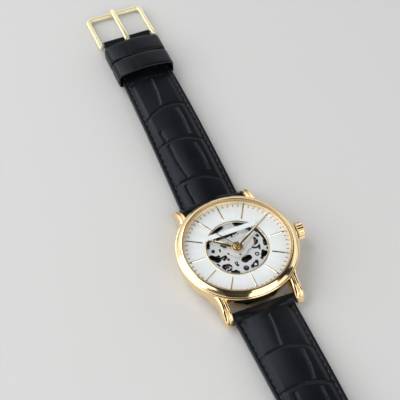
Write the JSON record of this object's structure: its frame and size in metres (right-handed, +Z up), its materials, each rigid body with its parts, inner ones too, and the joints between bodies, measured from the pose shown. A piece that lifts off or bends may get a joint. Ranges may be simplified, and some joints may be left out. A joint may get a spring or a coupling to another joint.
{
  "type": "skeleton wristwatch",
  "caption": "Round gold-coloured mechanical wristwatch with a white dial cut open over its movement, batons for the hours, a fluted crown and a padded black leather strap with a pin buckle.",
  "frame": {"origin": "centre of the back glass, on the flat outer surface that the watch rests on", "axes": "+Z up through the dial, +Y from the centre to 12 o'clock along the strap, +X to the crown"},
  "size_m": [0.0457, 0.2627, 0.0105],
  "materials": {
    "gold_case": "polished gold plate",
    "dial_white": "white lacquer",
    "pale_gold": "satin pale gold",
    "rhodium": "satin rhodium plate",
    "steel": "polished steel",
    "brass": "fine-grained brass",
    "blued_steel": "blued steel",
    "ruby": "polished synthetic ruby",
    "glass": "polished",
    "gasket_white": "matte",
    "gasket_black": "matte rubber",
    "holder": "matte",
    "leather": "semi-gloss with large square scales"
  },
  "bodies": {
    "case": {"case_middle": "gold_case", "bezel": "gold_case", "crystal": "glass", "crystal_gasket": "gasket_white", "inner_flange": "gold_case", "dial": "dial_white", "dial_opening_rim": "pale_gold", "hour_batons": "gold_case", "dial_bar": "rhodium", "case_back": "gold_case", "back_glass": "glass", "back_glass_gasket": "gasket_white", "case_back_gasket": "gasket_black", "movement_holder": "holder", "crown_tube": "gold_case", "main_plate": "rhodium", "motion_cover": "rhodium", "barrel_bridge": "rhodium", "train_bridge": "rhodium", "balance_cock": "rhodium", "pallet_bridge": "rhodium", "jewels": "ruby", "movement_screws": "blued_steel", "hairspring": "blued_steel", "rotor_bearing": "steel", "lug_spring_bars": "steel"},
    "click": {"click": "steel"},
    "rotor": {"rotor": "gold_case"},
    "barrel": {"barrel": "brass", "mainspring": "steel"},
    "ratchet": {"ratchet_wheel": "steel", "barrel_arbor": "steel"},
    "crown_wheel": {"crown_wheel": "steel"},
    "second_wheel": {"second_wheel": "brass"},
    "third_wheel": {"third_wheel": "brass"},
    "seconds": {"fourth_wheel": "brass", "second_hand": "gold_case"},
    "escape_wheel": {"escape_wheel": "steel"},
    "pallet_fork": {"pallet_fork": "steel"},
    "balance": {"balance_wheel": "gold_case"},
    "minutes": {"cannon_pinion": "steel", "minute_hand": "gold_case"},
    "minute_wheel": {"minute_wheel": "steel"},
    "hours": {"hour_wheel": "brass", "hour_hand": "gold_case"},
    "crown_slider": {"crown_gasket": "gasket_black"},
    "crown": {"crown": "gold_case", "winding_stem": "steel"},
    "winding_pinion": {"winding_pinion": "steel"},
    "yoke": {"yoke": "steel"},
    "sliding_pinion": {"sliding_pinion": "steel"},
    "setting_lever": {"setting_lever": "steel"},
    "strap_12": {"strap_12": "leather", "keeper_fixed": "leather"},
    "strap_6": {"strap_6": "leather"},
    "keeper_free": {"keeper_free": "leather"},
    "buckle": {"buckle_frame": "gold_case", "buckle_spring_bar": "steel"},
    "tongue": {"buckle_tongue": "gold_case"}
  },
  "joints": [
    {"name": "seconds_turn", "type": "hinge", "parent": "case", "child": "seconds", "pos_m": [0, 0, 0.005], "axis": [0, 0, 1], "continuous": true},
    {"name": "minutes_turn", "type": "hinge", "parent": "case", "child": "minutes", "pos_m": [0, 0, 0.0075], "axis": [0, 0, 1], "continuous": true},
    {"name": "hours_turn", "type": "hinge", "parent": "case", "child": "hours", "pos_m": [0, 0, 0.0075], "axis": [0, 0, 1], "continuous": true},
    {"name": "minute_wheel_turn", "type": "hinge", "parent": "case", "child": "minute_wheel", "pos_m": [0.00301, 0.00157, 0.007], "axis": [0, 0, 1], "continuous": true},
    {"name": "second_wheel_turn", "type": "hinge", "parent": "case", "child": "second_wheel", "pos_m": [0.0063, 0.00079, 0.005], "axis": [0, 0, 1], "continuous": true},
    {"name": "third_wheel_turn", "type": "hinge", "parent": "case", "child": "third_wheel", "pos_m": [0.00345, -0.00112, 0.005], "axis": [0, 0, 1], "continuous": true},
    {"name": "escape_wheel_turn", "type": "hinge", "parent": "case", "child": "escape_wheel", "pos_m": [-0.00339, -0.00072, 0.005], "axis": [0, 0, 1], "continuous": true},
    {"name": "barrel_turn", "type": "hinge", "parent": "case", "child": "barrel", "pos_m": [0.0067, 0.0053, 0.005], "axis": [0, 0, 1], "continuous": true},
    {"name": "balance_swing", "type": "hinge", "parent": "case", "child": "balance", "pos_m": [-0.00577, -0.00584, 0.005], "axis": [0, 0, 1], "range_deg": [-270, 270]},
    {"name": "pallet_fork_rock", "type": "hinge", "parent": "case", "child": "pallet_fork", "pos_m": [-0.00442, -0.00294, 0.0055], "axis": [0, 0, 1], "range_deg": [-5, 5]},
    {"name": "click_turn", "type": "hinge", "parent": "case", "child": "click", "pos_m": [0.0021, 0.00698, 0.0032], "axis": [0, 0, 1], "range_deg": [0, 8], "stiffness_Nm_per_rad": 0.0001},
    {"name": "rotor_spin", "type": "hinge", "parent": "case", "child": "rotor", "pos_m": [0, 0, 0.0022], "axis": [0, 0, 1], "continuous": true},
    {"name": "crown_pull", "type": "slide", "parent": "case", "child": "crown_slider", "axis": [1, 0, 0], "range_m": [0, 0.0008]},
    {"name": "crown_turn", "type": "hinge", "parent": "crown_slider", "child": "crown", "pos_m": [0.023, 0, 0.0049], "axis": [1, 0, 0], "continuous": true},
    {"name": "winding_pinion_turn", "type": "hinge", "parent": "case", "child": "winding_pinion", "pos_m": [0.011, 0, 0.0049], "axis": [1, 0, 0], "continuous": true},
    {"name": "crown_wheel_turn", "type": "hinge", "parent": "case", "child": "crown_wheel", "pos_m": [0.00899, 0.00031, 0.0032], "axis": [0, 0, 1], "continuous": true},
    {"name": "ratchet_turn", "type": "hinge", "parent": "case", "child": "ratchet", "pos_m": [0.0067, 0.0053, 0.0032], "axis": [0, 0, 1], "continuous": true},
    {"name": "yoke_slide", "type": "slide", "parent": "case", "child": "yoke", "axis": [1, 0, 0], "range_m": [-0.0008, 0]},
    {"name": "sliding_pinion_turn", "type": "hinge", "parent": "yoke", "child": "sliding_pinion", "pos_m": [0.01, 0, 0.0049], "axis": [1, 0, 0], "continuous": true},
    {"name": "setting_lever_turn", "type": "hinge", "parent": "case", "child": "setting_lever", "pos_m": [0.0119, -0.0017, 0.0055], "axis": [0, 0, 1], "range_deg": [-30, 0]},
    {"name": "strap_12_hinge", "type": "hinge", "parent": "case", "child": "strap_12", "pos_m": [0, 0.0224, 0.0026], "axis": [1, 0, 0], "range_deg": [-90, 60]},
    {"name": "strap_6_hinge", "type": "hinge", "parent": "case", "child": "strap_6", "pos_m": [0, -0.0224, 0.0026], "axis": [-1, 0, 0], "range_deg": [-90, 60]},
    {"name": "keeper_slide", "type": "slide", "parent": "strap_12", "child": "keeper_free", "axis": [0, -0.9988, 0.0481], "range_m": [0, 0.014]},
    {"name": "buckle_hinge", "type": "hinge", "parent": "strap_12", "child": "buckle", "pos_m": [0, 0.1084, 0.0028], "axis": [1, 0, 0], "range_deg": [-90, 10]},
    {"name": "tongue_hinge", "type": "hinge", "parent": "buckle", "child": "tongue", "pos_m": [0, 0.1084, 0.0028], "axis": [1, 0, 0], "range_deg": [0, 80]}
  ],
  "couplings": [
    {"joint": "minutes_turn", "follows": "seconds_turn", "ratio": 0.016667},
    {"joint": "hours_turn", "follows": "seconds_turn", "ratio": 0.0013889},
    {"joint": "minute_wheel_turn", "follows": "seconds_turn", "ratio": -0.0055556},
    {"joint": "second_wheel_turn", "follows": "seconds_turn", "ratio": 0.016667},
    {"joint": "third_wheel_turn", "follows": "seconds_turn", "ratio": -0.125},
    {"joint": "escape_wheel_turn", "follows": "seconds_turn", "ratio": -12},
    {"joint": "barrel_turn", "follows": "seconds_turn", "ratio": -0.0020833},
    {"joint": "winding_pinion_turn", "follows": "crown_turn", "ratio": 1},
    {"joint": "sliding_pinion_turn", "follows": "crown_turn", "ratio": 1},
    {"joint": "crown_wheel_turn", "follows": "crown_turn", "ratio": -0.4},
    {"joint": "ratchet_turn", "follows": "crown_turn", "ratio": 0.25},
    {"joint": "yoke_slide", "follows": "crown_pull", "ratio": -1},
    {"joint": "setting_lever_turn", "follows": "crown_pull", "rad_per_m": -612.45}
  ]
}
